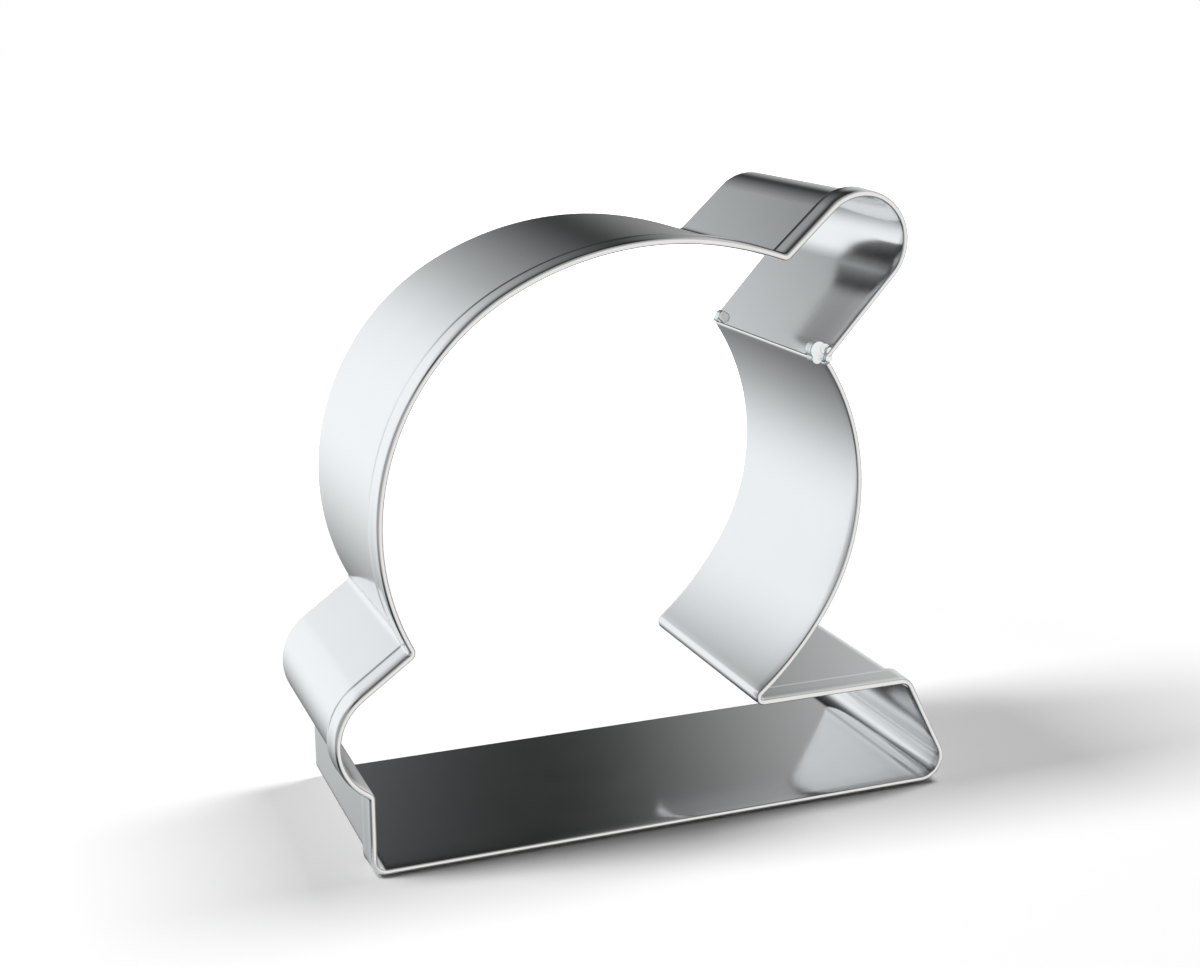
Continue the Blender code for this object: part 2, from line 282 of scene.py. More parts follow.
# %% The walk round the outline
middle_slope = (STUB_UPPER_SLOPE + STUB_LOWER_SLOPE) / 2
half_taper = (STUB_LOWER_SLOPE - STUB_UPPER_SLOPE) / 2
cap_aside = (STUB_UPPER_OFFSET - STUB_LOWER_OFFSET) / (2 * math.cos(half_taper))
cap_centre = direction(middle_slope) * STUB_REACH + left_of(middle_slope) * cap_aside
crown_end = crown_arc.centre + direction(SHOULDER_START) * CROWN_RADIUS
globe_start = direction(CROWN_START) * GLOBE_RADIUS
foot_end = flank.centre + direction(FLANK_FOOT_END) * FLANK_RADIUS

WALK = [
    Turn(cap_centre, stub_lower.nearest(cap_centre), stub_upper.nearest(cap_centre)),
    stub_corner,
    Turn(shoulder.centre, stub_corner.end, crown_end),
    Turn(crown_arc.centre, crown_end, globe_start),
    Turn(globe.centre, globe_start, waist.start),
    waist,
    Turn(bulge.centre, slope.point, jog.start),
    jog,
    base_left,
    base_right,
    shelf_end,
    shelf_tip,
    Turn(flank_foot.centre, shelf_tip.end, foot_end),
    Turn(flank.centre, foot_end, tab_turn.start),
]
print(len(WALK), "turns")

# %% [markdown]
# The folded leg of a real hem isn't flat. It lies lowest at the rim, rises over the first millimetre
# and a half behind it, and flares out at its raw edge, and the rim's inner edge is eased. All of that
# is a tenth of a millimetre or so, but on a mirror it places the thin bright and dark lines that run
# along the rim. Painted lines would stay put when the view changes, so the profile is modelled.

# %% The hem's profile
LEG_RISE = 0.685 * MM
RIM_DIP = 0.15 * MM
DIP_DEPTH = 1.6 * MM
FLARE_START = 2.5 * MM
FLARE_END = 2.95 * MM
# How far the rim's inner edge is eased at the very front, and then further back: how far, how deep.
EASED_BY = 0.055 * MM
EASED = ((0.03 * MM, 0.5 * MM), (0.012 * MM, 0.75 * MM), (0.0, 1.2 * MM))


def leg_face(depth):
    """How far out the folded leg's outer face lies, this deep behind the rim."""
    dip = RIM_DIP * max(1 - depth / DIP_DEPTH, 0.0) ** 3
    share = min(max((depth - FLARE_START) / (FLARE_END - FLARE_START), 0.0), 1.0)
    return LEG_RISE - dip + (RIM - LEG_RISE) * share * share * (3 - 2 * share)


raw_edge = leg_face(HEM_WIDTH)
print("leg at the rim, at 1 mm, at 2 mm and at its raw edge, mm:",
      in_mm((leg_face(0.0), leg_face(1.0 * MM), leg_face(2.0 * MM), raw_edge)))

# %% [markdown]
# A section could be swept along a curve object, but a curve tilts and thins a section at tight bends.
# Here the section is a flat face that bmesh itself carries round: it is spun about each bend's centre
# and pushed along each straight run, as a forming tool would carry the sheet. The section is two
# faces, the hem and the wall behind it, with a row of corners along the leg's profile. Bevelling the
# other corners gives the round rim and the slightly rounded edges that a shear leaves.

# %% The section's corners
rounded = []


def section_corner(shape, outward, depth, radius=0.0, steps=1):
    """A corner of the section at the seam. One with a radius is noted for rounding."""
    corner = shape.verts.new(standing(hem_start + seam_outward * outward, depth))
    if radius:
        rounded.append((corner, radius, steps))
    return corner


def round_the_corners(shape):
    for corner, radius, steps in rounded:
        bmesh.ops.bevel(
            shape, geom=[corner], offset=radius, segments=steps, profile=0.5, affect="VERTICES", material=-1
        )


# %% [markdown]
# The hem's face is drawn as one walk round its edge: over the rim, along the leg's outer face to the
# raw edge, back along its inner face to where the fold closes, and home along the wall. The wall's
# face shares its two front corners with the hem's, so the two stay joined all along the strip.

# %% The section of the strip
ROUND_EDGE = 0.12 * MM
EDGE_STEPS = 3
RIM_STEPS = 8
LEG_STEPS = 20
FOLD_STEPS = 4

strip = bmesh.new()
bead_radius = (leg_face(0.0) - EASED_BY) / 2
leg_depths = [SHEET + (HEM_WIDTH - SHEET - ROUND_EDGE) * step / LEG_STEPS for step in range(LEG_STEPS)]
inner_depths = reversed(leg_depths[FOLD_STEPS:])
hem_corners = [
    section_corner(strip, EASED_BY, 0.0, bead_radius, RIM_STEPS),
    section_corner(strip, leg_face(0.0), 0.0, bead_radius, RIM_STEPS),
    *(section_corner(strip, leg_face(depth), depth) for depth in leg_depths),
    section_corner(strip, raw_edge, HEM_WIDTH, ROUND_EDGE, EDGE_STEPS),
    section_corner(strip, raw_edge - SHEET, HEM_WIDTH, ROUND_EDGE, EDGE_STEPS),
    *(section_corner(strip, leg_face(depth) - SHEET, depth) for depth in inner_depths),
    section_corner(strip, SHEET, leg_depths[FOLD_STEPS] - FOLD_GAP),
]
eased_corners = [section_corner(strip, outward, depth) for outward, depth in EASED]
wall_corners = [
    section_corner(strip, SHEET, NOTCH_DEPTH),
    section_corner(strip, SHEET, DEPTH, ROUND_EDGE, EDGE_STEPS),
    section_corner(strip, 0.0, DEPTH, ROUND_EDGE, EDGE_STEPS),
    section_corner(strip, 0.0, NOTCH_DEPTH),
]
strip.faces.new(hem_corners + [wall_corners[0], wall_corners[-1], *reversed(eased_corners)])
strip.faces.new(wall_corners)
round_the_corners(strip)
print("section:", len(strip.verts), "corners")

# %% [markdown]
# Each step of the walk pulls a new ring of faces out of the section's face. The old face has to go
# into the call with its edges, or it would stay behind as a hidden wall. The corners remember how far
# along the strip they lie. The finish needs that later, because the rolling marks follow the strip
# round every bend.

# %% What a step carries, and what it leaves in the corners
along_strip = strip.verts.layers.float.new("along_strip")


def corners_of(faces):
    return {corner for face in faces for corner in face.verts}


def parts_of(faces):
    edges = {edge for face in faces for edge in face.edges}
    return list(faces) + list(edges) + list(corners_of(faces))


def faces_in(items):
    return [item for item in items if isinstance(item, bmesh.types.BMFace)]


def mark_length(faces, length):
    for corner in corners_of(faces):
        corner[along_strip] = length


# %% [markdown]
# A straight run is an extrusion and a move. One long face would do for it, but smooth shading blends
# each bend's curve into the faces beside it. A short piece at either end takes up that blend and
# keeps the middle as flat as the real wall.

# %% Pushing the section along a straight run
SUPPORT = 0.25 * MM
LONGEST_SHARE = 0.25


def push(faces, length, run):
    """Draws the section out in a straight line."""
    moved = faces_in(bmesh.ops.extrude_face_region(strip, geom=parts_of(faces))["geom"])
    bmesh.ops.translate(strip, vec=standing(run), verts=list(corners_of(moved)))
    mark_length(moved, length + run.length)
    return moved, length + run.length


def push_run(faces, length, run):
    """A straight run, with a short piece at each end that keeps the middle's shading flat."""
    share = min(SUPPORT / run.length, LONGEST_SHARE)
    for part in (share, 1 - 2 * share, share):
        faces, length = push(faces, length, run * part)
    return faces, length


# %% [markdown]
# A bend is a spin about its centre. The number of steps follows from two limits: on a wide arc no
# facet may be long, and in a tight bend none may turn by much. Mirrors show every facet, so both
# limits are fine ones.

# %% Spinning the section round a bend
LONG_FACET = 0.6 * MM
FINE_FACET = math.radians(9.0)
FRONT_TO_VIEWER = Vector((0.0, -1.0, 0.0))


def spin(faces, length, turn):
    """Draws the section round a turn's centre, in facets that are short on a wide arc."""
    radius = (turn.start - turn.centre).length
    steps = max(math.ceil(radius * abs(turn.sweep) / LONG_FACET), math.ceil(abs(turn.sweep) / FINE_FACET))
    for _ in range(steps):
        spun = bmesh.ops.spin(
            strip,
            geom=parts_of(faces),
            cent=standing(turn.centre),
            axis=FRONT_TO_VIEWER,
            angle=turn.sweep / steps,
            steps=1,
            use_merge=False,
            use_duplicate=False,
        )
        faces = faces_in(spun["geom_last"])
        length += radius * abs(turn.sweep) / steps
        mark_length(faces, length)
    return faces, length


# %% [markdown]
# With those two steps the walk is one loop. Wherever a turn doesn't start where the last one ended, a
# straight run comes first. Spinning replaces the faces that it is given, so the strip's first end is
# found again afterwards: it is where the remembered length is still nothing.

# %% Walking the section round the outline
SAME_PLACE = 1e-4 * MM


def follow(faces, place, walk):
    length = 0.0
    for turn in walk:
        if (turn.start - place).length > SAME_PLACE:
            faces, length = push_run(faces, length, turn.start - place)
        faces, length = spin(faces, length, turn)
        place = turn.end
    return faces, length


last_faces, strip_length = follow(list(strip.faces), hem_start, WALK)
first_faces = [face for face in strip.faces if all(corner[along_strip] == 0.0 for corner in face.verts)]
print(f"strip length {strip_length / MM:.1f} mm, {len(strip.faces)} faces")

# %% [markdown]
# Behind the notch the wall goes on past the hem at both ends. At the far end it is the tab, which
# bends round the corner and laps behind the first wall. At the near end it is a tongue of less than a
# millimetre, which reaches the corner. Both are pulled out of the wall's face alone, so the hem stops
# where it should. The tongue runs backwards from nothing, so its lengths are negative.

# %% The tab and the tongue at the strip's two ends
def wall_only(faces):
    """The face behind the notch, without the hem."""
    return [face for face in faces if min(corner.co.y for corner in face.verts) > HEM_WIDTH]


tab_faces, tab_start = spin(wall_only(last_faces), strip_length, tab_turn)
tab_end = push_run(tab_faces, tab_start, seam_along * TAB_LENGTH)[1]
push(wall_only(first_faces), -2 * HEM_SETBACK, -seam_along * HEM_SETBACK)
print(f"with its tab the strip is {tab_end / MM:.1f} mm long")

# %% [markdown]
# Smooth shading blends the normals over a whole face. The strip's walls are single faces from the
# hem to the cutting edge, so the tiny rounded edges would bend the reflections across all of them.
# Cutting the mesh with planes parallel to the rim adds a loop close to each edge, which keeps the
# blend narrow. The planes in between keep the wall's faces from being much longer than they are wide.

# %% Loops along the strip
WALL_PARTS = 6
LOOP_DEPTHS = [HEM_WIDTH + SUPPORT, DEPTH - SUPPORT]
LOOP_DEPTHS += [NOTCH_DEPTH + (DEPTH - NOTCH_DEPTH) * part / WALL_PARTS for part in range(1, WALL_PARTS)]

for depth in LOOP_DEPTHS:
    bmesh.ops.bisect_plane(
        strip,
        geom=list(strip.verts) + list(strip.edges) + list(strip.faces),
        dist=SAME_PLACE,
        plane_co=(0.0, depth, 0.0),
        plane_no=(0.0, 1.0, 0.0),
    )
bmesh.ops.recalc_face_normals(strip, faces=strip.faces)


def open_edges(shape):
    return sum(not edge.is_manifold for edge in shape.edges)


print(f"{len(strip.faces)} faces, {open_edges(strip)} open edges")

# %% [markdown]
# Every piece is finished the same way: it is moved from the outline's frame to its place in the
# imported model, its mesh is handed over to an object at the origin, and sharp corners are marked where
# faces meet steeply. The move is found from the strip itself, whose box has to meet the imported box.

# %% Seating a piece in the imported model
lows = [min(vertex.co[axis] for vertex in strip.verts) for axis in range(3)]
highs = [max(vertex.co[axis] for vertex in strip.verts) for axis in range(3)]
middle = (strip_low[0] + strip_high[0]) / 2
SEAT = Vector((middle - (lows[0] + highs[0]) / 2, strip_low[1] - lows[1], strip_low[2] - lows[2]))
SHARP = math.radians(38.0)
print("fine strip, mm:", in_mm(high - low for low, high in zip(lows, highs)))


def seated(name, shape, material, node):
    """An object of the shape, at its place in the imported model, that stands for a node."""
    mesh = bpy.data.meshes.new(name)
    shape.to_mesh(mesh)
    shape.free()
    mesh.transform(Matrix.Translation(SEAT))
    mesh.materials.append(material)
    mesh.shade_smooth()
    mesh.set_sharp_from_angle(angle=SHARP)
    piece = bpy.data.objects.new(name, mesh)
    bpy.context.scene.collection.objects.link(piece)
    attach(piece, "root")
    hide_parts(node)
    return piece


# %% [markdown]
# The rolling marks run along the strip, so the finish needs a map that follows it: along the strip in
# one direction and across it in the other. A UV map does that. The first coordinate is the length
# that the corners remember, the second is the depth behind the rim.

# %% A map that follows the strip
def map_along_strip(shape):
    flat = shape.loops.layers.uv.new("strip")
    for face in shape.faces:
        for loop in face.loops:
            loop[flat].uv = (loop.vert[along_strip] / MM, loop.vert.co.y / MM)


map_along_strip(strip)
print(f"map: {tab_end / MM:.0f} by {DEPTH / MM:.0f}, one unit to a millimetre")

# %% [markdown]
# A finish is a small tree of nodes. These helpers keep the trees short. One makes a node with its
# settings, one adds a step of arithmetic, one starts a material, and two turn a pattern of noise into
# a change of roughness or into a very low relief.

# %% Helpers for node trees
NODE_STEP = 180
PATTERN_LOW = 0.3
PATTERN_HIGH = 0.7
RELIEF = 0.02 * MM


def node(tree, kind, **settings):
    """A new node, with its settings and its unlinked inputs set by name."""
    made = tree.nodes.new(kind)
    made.location.x = NODE_STEP * len(tree.nodes)
    for name, value in settings.items():
        if hasattr(made, name):
            setattr(made, name, value)
        else:
            made.inputs[name.replace("_", " ")].default_value = value
    return made


def math_node(tree, operation, *values):
    made = node(tree, "ShaderNodeMath", operation=operation)
    for socket, value in zip(made.inputs, values):
        if isinstance(value, (int, float)):
            socket.default_value = value
        else:
            tree.links.new(value, socket)
    return made.outputs[0]


def new_material(name, colour, roughness, metallic=1.0):
    material = bpy.data.materials.new(name)
    material.use_nodes = True
    shader = material.node_tree.nodes["Principled BSDF"]
    shader.inputs["Base Color"].default_value = (*colour, 1.0)
    shader.inputs["Roughness"].default_value = roughness
    shader.inputs["Metallic"].default_value = metallic
    return material, material.node_tree, shader


def spread(tree, pattern, low, high):
    """Spreads a pattern's middle range over low to high."""
    ramp = node(
        tree, "ShaderNodeMapRange", From_Min=PATTERN_LOW, From_Max=PATTERN_HIGH, To_Min=low, To_Max=high
    )
    tree.links.new(pattern, ramp.inputs["Value"])
    return ramp.outputs["Result"]


def add_relief(tree, shader, pattern, strength):
    """Lets a pattern raise and lower the surface a little."""
    bump = node(tree, "ShaderNodeBump", Strength=strength, Distance=RELIEF)
    tree.links.new(pattern, bump.inputs["Height"])
    tree.links.new(bump.outputs["Normal"], shader.inputs["Normal"])


# %% [markdown]
# Bright stainless sheet is close to a mirror, but not quite. Cold rolling leaves very fine streaks
# along the strip, and handling leaves faint cloudy patches. Both change the roughness far more than
# the colour, so the nodes below drive the roughness and a very low relief and leave the colour even.
# A picture of brushed metal would be quicker, but it would repeat and blur in close views.

# %% Rolled stainless steel
STEEL = (0.73, 0.74, 0.75)
STEEL_ROUGHNESS = 0.13
STREAK_SCALE = (0.06, 9.0, 1.0)
STREAK_CHANGE = 0.02
STREAK_RELIEF = 0.02
CLOUD_SCALE = 0.16
CLOUD_CHANGE = 0.015


def rolled_steel():
    material, tree, shader = new_material("rolled_stainless", STEEL, STEEL_ROUGHNESS)
    place = node(tree, "ShaderNodeUVMap", uv_map="strip")
    streak_map = node(tree, "ShaderNodeMapping", Scale=STREAK_SCALE)
    streaks = node(tree, "ShaderNodeTexNoise", Scale=1.0, Detail=4.0, Roughness=0.6)
    clouds = node(tree, "ShaderNodeTexNoise", Scale=CLOUD_SCALE, Detail=2.0)
    tree.links.new(place.outputs["UV"], streak_map.inputs["Vector"])
    tree.links.new(streak_map.outputs["Vector"], streaks.inputs["Vector"])
    tree.links.new(place.outputs["UV"], clouds.inputs["Vector"])
    streaky = spread(tree, streaks.outputs["Fac"], -STREAK_CHANGE, STREAK_CHANGE)
    cloudy = spread(tree, clouds.outputs["Fac"], -CLOUD_CHANGE, CLOUD_CHANGE)
    change = math_node(tree, "ADD", streaky, cloudy)
    tree.links.new(math_node(tree, "ADD", change, STEEL_ROUGHNESS), shader.inputs["Roughness"])
    add_relief(tree, shader, streaks.outputs["Fac"], STREAK_RELIEF)
    return material


strip_piece = seated("steel_strip", strip, rolled_steel(), "cutter_strip")
print("finish:", strip_piece.active_material.name)

# %% [markdown]
# A tack weld is a little metal that was melted onto the corner in a quick pulse. It froze as a blob
# with a few lobes, one of which runs onto the end of each hem. Short round drops stand for the lobes,
# a voxel remesh melts them into one skin, and a Smooth modifier lets it settle. A sculpting brush
# could do that too, but a list of drops is easier to change. The remesh's smallest cell is a tenth of
# a millimetre, too coarse for a bead, so the bead is made large, with one unit to a millimetre, and
# then scaled down.

# %% Melting drops into one skin
CELL = 0.035
SMOOTHING = 40
ROUND_SEGMENTS = 48


def melt(drops):
    """The drops' common skin, with its dents and creases settled."""
    mesh = bpy.data.meshes.new("lobes")
    drops.to_mesh(mesh)
    drops.free()
    melted = bpy.data.objects.new("lobes", mesh)
    bpy.context.scene.collection.objects.link(melted)
    remesh = melted.modifiers.new("melt", "REMESH")
    remesh.mode = "VOXEL"
    remesh.voxel_size = CELL
    melted.modifiers.new("settle", "SMOOTH").iterations = SMOOTHING
    skin = bmesh.new()
    skin.from_object(melted, bpy.context.evaluated_depsgraph_get())
    bpy.data.objects.remove(melted)
    return skin


def tack_bead(lobes):
    """A bead at the seam's corner, melted from its lobes."""
    drops = bmesh.new()
    for along, outward, depth, radius, thickness in lobes:
        bmesh.ops.create_cone(
            drops,
            cap_ends=True,
            segments=ROUND_SEGMENTS,
            radius1=radius,
            radius2=radius,
            depth=thickness,
            matrix=Matrix.Translation((along, outward, depth)),
        )
    bead = melt(drops)
    axes = Matrix((standing(seam_along), standing(seam_outward), (0.0, 1.0, 0.0))).transposed()
    bmesh.ops.scale(bead, vec=(MM, MM, MM), verts=bead.verts)
    bmesh.ops.rotate(bead, cent=(0, 0, 0), matrix=axes, verts=bead.verts)
    bmesh.ops.translate(bead, vec=standing(seam_corner), verts=bead.verts)
    bmesh.ops.recalc_face_normals(bead, faces=bead.faces)
    print(f"bead: {len(bead.faces)} faces, {open_edges(bead)} open edges")
    return bead


# %% [markdown]
# Weld metal cools too fast to keep a shine, so it is satin and a little paler than the sheet. A fine
# grain of noise changes its roughness from place to place and gives it a faint relief.

# %% Weld metal
WELD_STEEL = (0.79, 0.84, 0.86)
WELD_ROUGHNESS = 0.35
WELD_ROUGHNESS_RANGE = (0.3, 0.42)
WELD_GRAIN = 1500.0
WELD_RELIEF = 0.05


def weld_steel():
    material, tree, shader = new_material("weld_bead_steel", WELD_STEEL, WELD_ROUGHNESS)
    place = node(tree, "ShaderNodeTexCoord")
    grain = node(tree, "ShaderNodeTexNoise", Scale=WELD_GRAIN, Detail=3.0)
    tree.links.new(place.outputs["Object"], grain.inputs["Vector"])
    tree.links.new(spread(tree, grain.outputs["Fac"], *WELD_ROUGHNESS_RANGE), shader.inputs["Roughness"])
    add_relief(tree, shader, grain.outputs["Fac"], WELD_RELIEF)
    return material


weld_finish = weld_steel()
print("finish:", weld_finish.name)

# %% [markdown]
# The bead in front fills the notch just behind the rim, where the hand would feel a sharp corner. The
# one at the back ties the two walls together at the cutting edge and is smaller. Each row below is a
# drop, in millimetres: its place along the stub, outwards and behind the rim, its radius and its
# thickness.

# %% The two tack welds
FRONT_LOBES = (
    (0.58, -0.6, 1.25, 0.88, 1.2),
    (-0.02, -0.15, 1.3, 0.62, 1.2),
    (1.12, -0.2, 1.15, 0.52, 1.2),
    (1.16, 0.17, 0.5, 0.42, 0.7),
    (0.62, 0.58, 0.5, 0.42, 0.7),
)
REAR_LOBES = (
    (0.7, -0.15, 23.5, 0.55, 1.0),
    (0.4, 0.0, 23.7, 0.5, 1.0),
)
seated("front_bead", tack_bead(FRONT_LOBES), weld_finish, "front_tack_weld")
seated("rear_bead", tack_bead(REAR_LOBES), weld_finish, "rear_tack_weld")

# %% [markdown]
# A spot weld is made by two electrodes that squeeze the layers together. It leaves a shallow dish
# with a raised rim on the tab's outside, and next to nothing on the inside. The dish is a low disc
# whose face is inset and pushed down, which keeps its rings round at any size.

# %% Spot weld marks
SPOT_RADIUS = 0.8 * MM
SPOT_CROWN = 0.08 * MM
SPOT_EDGE = 0.07 * MM
SPOT_EDGE_STEPS = 4
# The dish, ring by ring: how far it is inset and how far it drops.
DISH = ((0.1 * MM, 0.0), (0.15 * MM, 0.05 * MM), (0.3 * MM, 0.015 * MM))
SPOT_WELDS = 3
layers = 2 * SHEET + LAP_GAP
spot_reach = (tab_turn.end - seam_corner).dot(seam_along) + TAB_LENGTH / 2
spot_pitch = (DEPTH - NOTCH_DEPTH) / SPOT_WELDS


def spot_mark(depth):
    """A dished mark on the tab, this deep behind the rim and sunk one sheet into it."""
    shape = bmesh.new()
    bmesh.ops.create_cone(
        shape,
        cap_ends=True,
        segments=ROUND_SEGMENTS,
        radius1=SPOT_RADIUS,
        radius2=SPOT_RADIUS,
        depth=SHEET + SPOT_CROWN,
        matrix=Matrix.Translation((0.0, 0.0, (SPOT_CROWN - SHEET) / 2)),
    )
    rim = [edge for edge in shape.edges if all(corner.co.z > 0 for corner in edge.verts)]
    bmesh.ops.bevel(
        shape,
        geom=rim,
        offset=SPOT_EDGE,
        segments=SPOT_EDGE_STEPS,
        profile=0.5,
        affect="EDGES",
        material=-1,
    )
    top = max(shape.faces, key=lambda face: face.calc_center_median().z)
    for inset, drop in DISH:
        bmesh.ops.inset_region(shape, faces=[top], thickness=inset)
        bmesh.ops.translate(shape, vec=(0.0, 0.0, -drop), verts=top.verts)
    turn = standing(seam_outward).to_track_quat("Z", "Y").to_matrix()
    bmesh.ops.rotate(shape, cent=(0, 0, 0), matrix=turn, verts=shape.verts)
    on_tab = seam_corner + seam_along * spot_reach + seam_outward * layers
    bmesh.ops.translate(shape, vec=standing(on_tab, depth), verts=shape.verts)
    return shape


for number in range(1, SPOT_WELDS + 1):
    depth = NOTCH_DEPTH + spot_pitch * (number - 0.5)
    seated(f"spot_mark_{number}", spot_mark(depth), weld_finish, f"spot_weld_{number}")
    print(f"spot mark {number}: {depth / MM:.1f} mm behind the rim")

# %% [markdown]
# The camera stands where the photographer's stood. Its place was worked out from the outline of the
# rim and of the cutting edge, which are the same shape 25 mm apart. It is close to the cutter, so the
# rim looks clearly larger than the edge behind it.

# %% The camera
PICTURE_WIDTH = 1200
FOCAL_PIXELS = 1794.07
SENSOR = 36.0
CAMERA_PLACE = Vector((-65.10, -162.39, 79.06)) * MM
CAMERA_PITCH = math.radians(14.928)
CAMERA_YAW = math.radians(21.352)

scene = bpy.context.scene
camera_data = bpy.data.cameras.new("camera")
camera_data.sensor_width = SENSOR
camera_data.lens = FOCAL_PIXELS / PICTURE_WIDTH * SENSOR
camera_data.clip_start = 0.01
camera = bpy.data.objects.new("camera", camera_data)
camera.location = CAMERA_PLACE
camera.rotation_euler = (math.pi / 2 - CAMERA_PITCH, 0.0, -CAMERA_YAW)
scene.collection.objects.link(camera)
scene.camera = camera
print(f"camera: {camera_data.lens:.1f} mm lens, {CAMERA_PLACE.length / MM:.0f} mm from the origin")

# %% [markdown]
# Metal has no look of its own: it shows what stands round it. The studio that this cutter shows is
# painted into the world as seven soft cards, each at a direction: azimuth 0 is straight behind the
# cutter and 90 is to its right. Cards could be real planes too, but those would stand in the way of
# other views.

# %% The studio's cards
class Card:
    """A patch of light, in degrees. Each edge is a pair: where it starts to fade and where it ends."""

    def __init__(self, left, right, bottom, top, level, tint):
        self.middle = (left[1] + right[0]) / 2
        self.left = [angle - self.middle for angle in left]
        self.right = [angle - self.middle for angle in right]
        self.bottom = bottom
        self.top = top
        self.colour = tuple(level * part for part in tint) + (1.0,)


COOL = (0.965, 0.99, 1.0)
NEUTRAL = (1.0, 1.0, 0.995)
CREAM = (1.0, 0.975, 0.94)
# Overhead, below, the left side, the front, behind and to the left, and two behind on the right, the
# lower one first.
CARDS = (
    Card((-180, -179), (179, 180), (38, 62), (91, 92), 0.46, NEUTRAL),
    Card((-180, -179), (179, 180), (-92, -91), (-60, -36), 0.2, CREAM),
    Card((-175, -140), (-34, -14), (-36, -14), (20, 42), 0.45, NEUTRAL),
    Card((60, 122), (190, 255), (-88, -46), (48, 84), 1.08, CREAM),
    Card((-43, -34), (-20, 22), (-45, -5), (14, 40), 1.18, COOL),
    Card((17, 36), (62, 78), (-60, -28), (14, 28), 0.82, NEUTRAL),
    Card((20, 40), (62, 78), (10, 24), (44, 62), 0.82, NEUTRAL),
)
print(len(CARDS), "cards, the middles of their azimuths:", [card.middle for card in CARDS])

# %% [markdown]
# The world's colour is arithmetic on a direction, and the floor's white is arithmetic on a place. One
# helper blends two colours. The others make a value that rises or falls smoothly between two ends, as
# the soft edge of a card does.

# %% Helpers for soft edges
def mixed(tree, factor, first, second):
    """A colour between two colours, each a plain value or another node's output."""
    made = node(tree, "ShaderNodeMix", data_type="RGBA")
    sockets = [socket for socket in made.inputs if socket.type == "RGBA"]
    for socket, value in zip(sockets, (first, second)):
        if isinstance(value, tuple):
            socket.default_value = value
        else:
            tree.links.new(value, socket)
    tree.links.new(factor, made.inputs[0])
    return next(socket for socket in made.outputs if socket.type == "RGBA")


def rising(tree, value, start, end, low=0.0, high=1.0):
    """A value that goes smoothly from low to high as another goes from start to end."""
    rise = node(
        tree,
        "ShaderNodeMapRange",
        interpolation_type="SMOOTHSTEP",
        From_Min=start,
        From_Max=end,
        To_Min=low,
        To_Max=high,
    )
    tree.links.new(value, rise.inputs["Value"])
    return rise.outputs["Result"]


def falling(tree, value, start, end):
    return rising(tree, value, start, end, 1.0, 0.0)


# %% [markdown]
# A direction has an azimuth and an elevation, and each card covers a soft-edged patch of the two. The
# cards are laid over a nearly black room one by one, so a later card hides an earlier one where they
# overlap.

# %% What the metal sees
ROOM_LEVEL = 0.025


def studio_look(tree):
    """The cards, one laid over the other, as a colour for each direction."""
    place = node(tree, "ShaderNodeTexCoord")
    parts = node(tree, "ShaderNodeSeparateXYZ")
    tree.links.new(place.outputs["Generated"], parts.inputs["Vector"])
    x, y, z = (parts.outputs[axis] for axis in "XYZ")
    azimuth = math_node(tree, "DEGREES", math_node(tree, "ARCTAN2", x, y))
    elevation = math_node(tree, "DEGREES", math_node(tree, "ARCSINE", z))
    look = (ROOM_LEVEL, ROOM_LEVEL, ROOM_LEVEL, 1.0)
    for card in CARDS:
        turned = math_node(tree, "SUBTRACT", azimuth, card.middle)
        aside = math_node(tree, "WRAP", turned, 180.0, -180.0)
        across = math_node(
            tree, "MULTIPLY", rising(tree, aside, *card.left), falling(tree, aside, *card.right)
        )
        up = math_node(
            tree, "MULTIPLY", rising(tree, elevation, *card.bottom), falling(tree, elevation, *card.top)
        )
        look = mixed(tree, math_node(tree, "MULTIPLY", across, up), look, card.colour)
    return look


# %% [markdown]
# Only mirrored rays are shown the cards. The camera sees a plain white room behind the cutter. All
# other rays see a dim even one, because the cards' own light would wash out the shadows on the floor.

# %% The world
WHITE = (1.0, 1.0, 1.0, 1.0)
ROOM_LIGHT = 0.04


def make_world():
    world = bpy.data.worlds.new("studio")
    world.use_nodes = True
    tree = world.node_tree
    tree.nodes.clear()
    seen_by = node(tree, "ShaderNodeLightPath")
    glossy, through = seen_by.outputs["Is Glossy Ray"], seen_by.outputs["Is Transmission Ray"]
    mirrored = math_node(tree, "MAXIMUM", glossy, through)
    colour = mixed(tree, mirrored, (ROOM_LIGHT, ROOM_LIGHT, ROOM_LIGHT, 1.0), studio_look(tree))
    colour = mixed(tree, seen_by.outputs["Is Camera Ray"], colour, WHITE)
    background = node(tree, "ShaderNodeBackground")
    tree.links.new(colour, background.inputs["Color"])
    output = node(tree, "ShaderNodeOutputWorld")
    tree.links.new(background.outputs["Background"], output.inputs["Surface"])
    return world


scene.world = make_world()
scene.view_settings.view_transform = "Standard"
print(len(scene.world.node_tree.nodes), "nodes in the world")

# %% [markdown]
# The floor is white paper that keeps the cutter's shadows. For the camera it adds a little of its own
# white, more and more with the distance, so that it fades into the white room without an edge. The
# steel sees the paper only close by: in a strip a few millimetres wide under the rim, no longer than
# the cutter, where the rim's shadow darkens its underside. Further off the cards stand for the paper.

# %% The paper
PAPER_WHITE = (0.87, 0.87, 0.87)
PAPER_ROUGHNESS = 0.9
GLOW_STARTS = 70 * MM
GLOW_ENDS = 220 * MM
SEEN_CLOSE = 1.5 * MM
SEEN_FAR = 4.5 * MM
half_width, half_depth = (strip_high[0] - strip_low[0]) / 2, DEPTH / 2


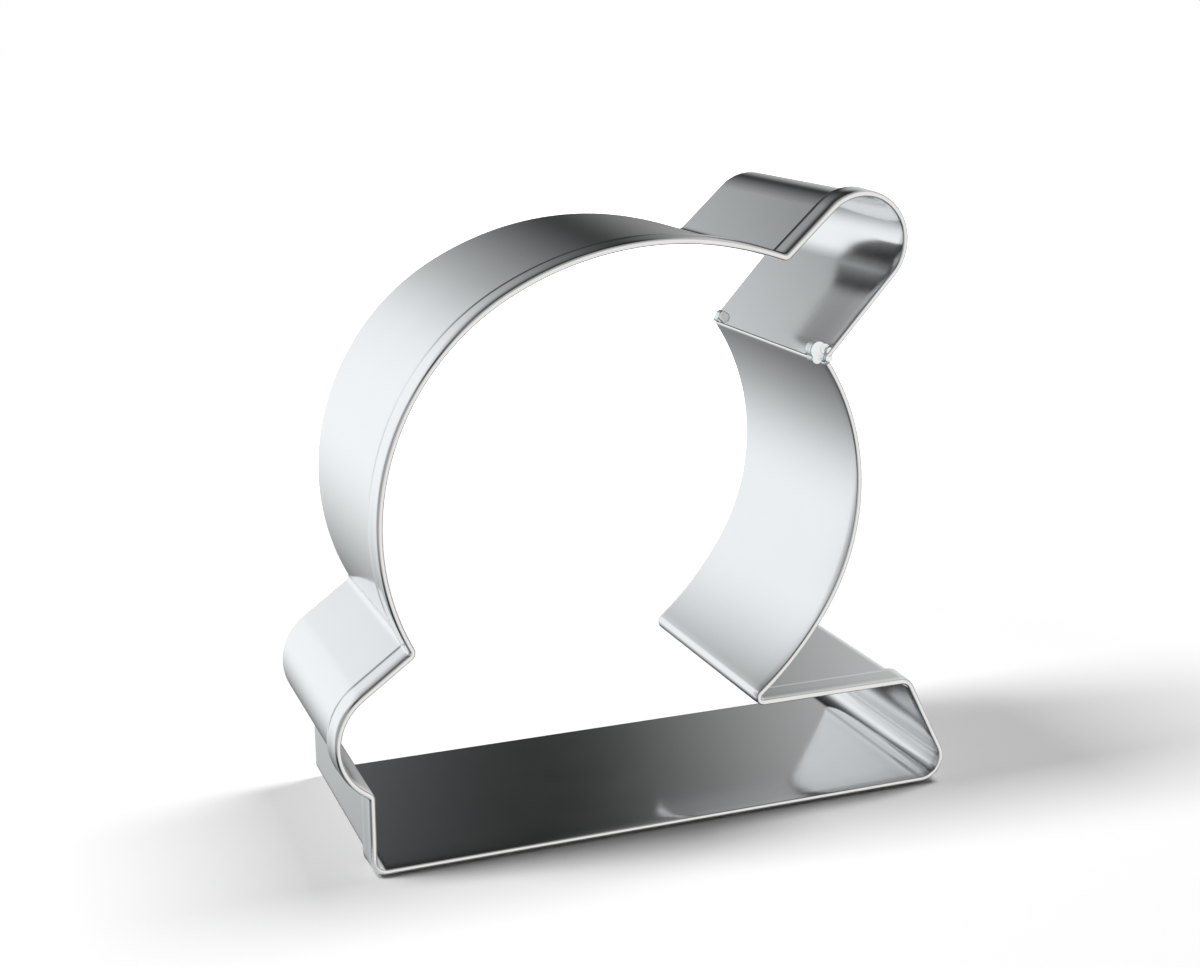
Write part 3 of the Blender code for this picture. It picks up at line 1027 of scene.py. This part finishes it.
def floor_paper():
    material, tree, shader = new_material("floor_paper", PAPER_WHITE, PAPER_ROUGHNESS, 0.0)
    shader.inputs["Specular IOR Level"].default_value = 0.0
    shader.inputs["Emission Color"].default_value = WHITE
    seen_by = node(tree, "ShaderNodeLightPath")
    place = node(tree, "ShaderNodeTexCoord")
    away = node(tree, "ShaderNodeVectorMath", operation="LENGTH")
    tree.links.new(place.outputs["Object"], away.inputs[0])
    glow = rising(tree, away.outputs["Value"], GLOW_STARTS, GLOW_ENDS)
    seen_glow = math_node(tree, "MULTIPLY", seen_by.outputs["Is Camera Ray"], glow)
    tree.links.new(seen_glow, shader.inputs["Emission Strength"])
    parts = node(tree, "ShaderNodeSeparateXYZ")
    tree.links.new(place.outputs["Object"], parts.inputs["Vector"])
    beside = math_node(tree, "SUBTRACT", math_node(tree, "ABSOLUTE", parts.outputs["X"]), half_width)
    before = math_node(tree, "ABSOLUTE", math_node(tree, "ADD", parts.outputs["Y"], half_depth))
    hidden = rising(tree, math_node(tree, "MAXIMUM", beside, before), SEEN_CLOSE, SEEN_FAR)
    clear = node(tree, "ShaderNodeBsdfTransparent")
    either = node(tree, "ShaderNodeMixShader")
    unseen = math_node(tree, "MULTIPLY", seen_by.outputs["Is Glossy Ray"], hidden)
    tree.links.new(unseen, either.inputs["Fac"])
    tree.links.new(shader.outputs["BSDF"], either.inputs[1])
    tree.links.new(clear.outputs["BSDF"], either.inputs[2])
    tree.links.new(either.outputs["Shader"], tree.nodes["Material Output"].inputs["Surface"])
    return material


# %% [markdown]
# A single square face is enough for paper. It is six metres wide, so that its edge lies far beyond
# the place where it has faded into the room.

# %% The floor
FLOOR_SIZE = 6.0

paper = bmesh.new()
bmesh.ops.create_grid(paper, x_segments=1, y_segments=1, size=FLOOR_SIZE / 2)
paper_mesh = bpy.data.meshes.new("floor")
paper.to_mesh(paper_mesh)
paper.free()
paper_mesh.materials.append(floor_paper())
floor = bpy.data.objects.new("floor", paper_mesh)
scene.collection.objects.link(floor)
floor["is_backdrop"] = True
print(f"floor: {FLOOR_SIZE:.0f} m wide, white from {GLOW_ENDS / MM:.0f} mm on")

# %% [markdown]
# The photograph's shadow is a band as deep as the strip that fades out to both sides. Two long
# softboxes overhead make it, one on each side, in line with the stand. They are narrow from front to
# back, so the band keeps its edges, and long from left to right, so its ends fade. The left one is
# the stronger, which makes the right end of the shadow the darker. Both hang a little behind the
# cutter, so the shadow also shows in front of the rim.

# %% The two softboxes
LAMP_DISTANCE = 1.2
LAMP_BREADTH = 0.24
# Each softbox: its angle from straight above, positive to the right, how far it hangs back, its
# length and its power.
SOFTBOXES = {
    "left_softbox": (math.radians(-35.0), math.radians(5.5), 0.63, 11.4),
    "right_softbox": (math.radians(22.0), math.radians(5.0), 0.55, 7.8),
}

for name, (lean, back, length, power) in SOFTBOXES.items():
    lamp_data = bpy.data.lights.new(name, "AREA")
    lamp_data.shape = "RECTANGLE"
    lamp_data.size = length
    lamp_data.size_y = LAMP_BREADTH
    lamp_data.energy = power
    lamp = bpy.data.objects.new(name, lamp_data)
    facing = Matrix.Rotation(lean, 4, "Y") @ Matrix.Rotation(-back, 4, "X")
    lamp.matrix_world = facing @ Matrix.Translation((0.0, 0.0, LAMP_DISTANCE))
    lamp.visible_glossy = False
    scene.collection.objects.link(lamp)
    print(f"{name}: {power} W, {length} m long")

# %% [markdown]
# Last, the dressed cutter's box is measured again and printed beside the imported one, so that the two
# sizes stand side by side.

# %% Sizes
dressed_box = [list(corner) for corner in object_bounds()]
print("packed, mm: ", [in_mm(corner) for corner in packed_box])
print("dressed, mm:", [in_mm(corner) for corner in dressed_box])
